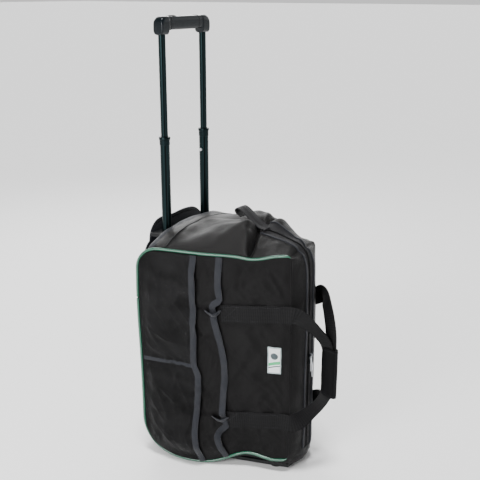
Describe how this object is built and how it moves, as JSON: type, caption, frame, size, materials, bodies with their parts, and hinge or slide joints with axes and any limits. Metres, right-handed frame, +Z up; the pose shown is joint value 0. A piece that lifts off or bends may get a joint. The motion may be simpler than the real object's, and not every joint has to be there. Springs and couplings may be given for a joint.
{
  "type": "bowling ball bag",
  "caption": "Wheeled bag standing on end for bowling balls: padded cloth body with contrast piping, side pockets, padded carry handle and pull-up trolley handle.",
  "frame": {"origin": "on the floor, under the middle of the bounding box at rest with the trolley handle fully out", "axes": "+Z up; +Y towards the back, where the trolley handle and wheels are; -Y towards the zip and carry handle; X across the bag, -X its left side, which carries the woven patch"},
  "size_m": [0.3664, 0.451, 1.0065],
  "materials": {
    "bag_cloth": "woven polyester",
    "lining_cloth": "padded woven lining",
    "piping_green": "glossy extruded piping",
    "mesh_net": "knitted mesh",
    "webbing": "ribbed webbing",
    "wrap_cloth": "padded wrap",
    "patch_white": "woven patch",
    "zip_plastic": "moulded teeth",
    "zip_metal": "dark plated",
    "rail_metal": "dark teal anodised",
    "grip_plastic": "glossy",
    "moulded_plastic": "fine texture",
    "wheel_rubber": "matte",
    "hub_plastic": "satin",
    "steel": "brushed"
  },
  "bodies": {
    "bag": {"side_panel_left": "bag_cloth", "side_panel_right": "bag_cloth", "piping_left": "piping_green", "piping_right": "piping_green", "back_board": "lining_cloth", "top_panel": "bag_cloth", "zip_tab": "bag_cloth", "cloth_pocket_left": "bag_cloth", "cloth_pocket_right": "bag_cloth", "mesh_pocket_left": "mesh_net", "mesh_pocket_right": "mesh_net", "strap_top_left": "webbing", "strap_top_right": "webbing", "strap_bottom_left": "webbing", "strap_bottom_right": "webbing", "woven_patch": "patch_white", "wheel_base": "moulded_plastic", "wheel_axle": "steel", "rear_cover": "bag_cloth", "outer_tube_left": "rail_metal", "outer_tube_right": "rail_metal", "tube_bracket": "moulded_plastic", "handle_bezel": "moulded_plastic", "base_board": "moulded_plastic", "foot_left": "wheel_rubber", "foot_right": "wheel_rubber", "ball_cup": "lining_cloth", "ball_shelf": "lining_cloth"},
    "middle_stage": {"middle_tube_left": "rail_metal", "middle_tube_right": "rail_metal", "stage_collar_left": "moulded_plastic", "stage_collar_right": "moulded_plastic"},
    "upper_stage": {"upper_tube_left": "rail_metal", "upper_tube_right": "rail_metal", "grip_cap_left": "grip_plastic", "grip_cap_right": "grip_plastic", "grip_bar": "grip_plastic"},
    "release": {"release_button": "grip_plastic", "release_link": "steel"},
    "snap_left": {"snap_button_left": "steel"},
    "snap_right": {"snap_button_right": "steel"},
    "wheel_left": {"wheel_tyre_left": "wheel_rubber", "wheel_hub_left": "hub_plastic"},
    "wheel_right": {"wheel_tyre_right": "wheel_rubber", "wheel_hub_right": "hub_plastic"},
    "flap_left": {"front_flap_left": "bag_cloth", "zip_teeth_left": "zip_plastic", "handle_loop_left": "webbing", "handle_wrap": "wrap_cloth"},
    "flap_right": {"front_flap_right": "bag_cloth", "zip_teeth_right": "zip_plastic", "handle_loop_right": "webbing"},
    "top_flap_left_body": {"top_flap_left": "bag_cloth"},
    "top_flap_right_body": {"top_flap_right": "bag_cloth"},
    "slider_upper": {"zip_slider_upper": "zip_metal"},
    "slider_lower": {"zip_slider_lower": "zip_metal"},
    "puller_upper": {"zip_puller_upper": "zip_metal"},
    "puller_lower": {"zip_puller_lower": "zip_metal"}
  },
  "joints": [
    {"name": "middle_stage_slide", "type": "slide", "parent": "bag", "child": "middle_stage", "axis": [0, 0, 1], "range_m": [-0.185, 0]},
    {"name": "upper_stage_slide", "type": "slide", "parent": "middle_stage", "child": "upper_stage", "axis": [0, 0, 1], "range_m": [-0.215, 0]},
    {"name": "release_press", "type": "slide", "parent": "upper_stage", "child": "release", "axis": [0, 0, 1], "range_m": [-0.003, 0], "stiffness_N_per_m": 600, "springref_m": 0.006},
    {"name": "snap_press_left", "type": "slide", "parent": "middle_stage", "child": "snap_left", "axis": [-1, 0, 0], "range_m": [0, 0.0022], "stiffness_N_per_m": 300, "springref_m": -0.002},
    {"name": "snap_press_right", "type": "slide", "parent": "middle_stage", "child": "snap_right", "axis": [1, 0, 0], "range_m": [0, 0.0022], "stiffness_N_per_m": 300, "springref_m": -0.002},
    {"name": "wheel_spin_left", "type": "hinge", "parent": "bag", "child": "wheel_left", "pos_m": [-0.096, 0.1955, 0.03], "axis": [1, 0, 0], "continuous": true},
    {"name": "wheel_spin_right", "type": "hinge", "parent": "bag", "child": "wheel_right", "pos_m": [0.096, 0.1955, 0.03], "axis": [1, 0, 0], "continuous": true},
    {"name": "front_flap_left_open", "type": "hinge", "parent": "bag", "child": "flap_left", "pos_m": [-0.06, -0.1395, 0.27], "axis": [0, 0, -1], "range_deg": [0, 100]},
    {"name": "front_flap_right_open", "type": "hinge", "parent": "bag", "child": "flap_right", "pos_m": [0.06, -0.1395, 0.27], "axis": [0, 0, 1], "range_deg": [0, 100]},
    {"name": "top_flap_left_open", "type": "hinge", "parent": "bag", "child": "top_flap_left_body", "pos_m": [-0.09583, -0.0286, 0.51347], "axis": [0.3066, -0.949, 0.073], "range_deg": [0, 70]},
    {"name": "top_flap_right_open", "type": "hinge", "parent": "bag", "child": "top_flap_right_body", "pos_m": [0.09583, -0.0286, 0.51347], "axis": [0.3066, 0.949, -0.073], "range_deg": [0, 70]},
    {"name": "zip_slider_upper_run", "type": "slide", "parent": "flap_left", "child": "slider_upper", "axis": [0, 0, 1], "range_m": [0, 0.212]},
    {"name": "zip_slider_lower_run", "type": "slide", "parent": "flap_left", "child": "slider_lower", "axis": [0, 0, 1], "range_m": [-0.202, 0]},
    {"name": "puller_upper_swing", "type": "hinge", "parent": "slider_upper", "child": "puller_upper", "pos_m": [-0.0032, -0.1627, 0.277], "axis": [-1, 0, 0], "range_deg": [0, 20]},
    {"name": "puller_lower_swing", "type": "hinge", "parent": "slider_lower", "child": "puller_lower", "pos_m": [0.0032, -0.1627, 0.261], "axis": [-1, 0, 0], "range_deg": [0, 20]}
  ],
  "couplings": [
    {"joint": "front_flap_right_open", "follows": "front_flap_left_open", "ratio": 1},
    {"joint": "top_flap_left_open", "follows": "front_flap_left_open", "ratio": 0.7},
    {"joint": "top_flap_right_open", "follows": "front_flap_left_open", "ratio": 0.7}
  ]
}
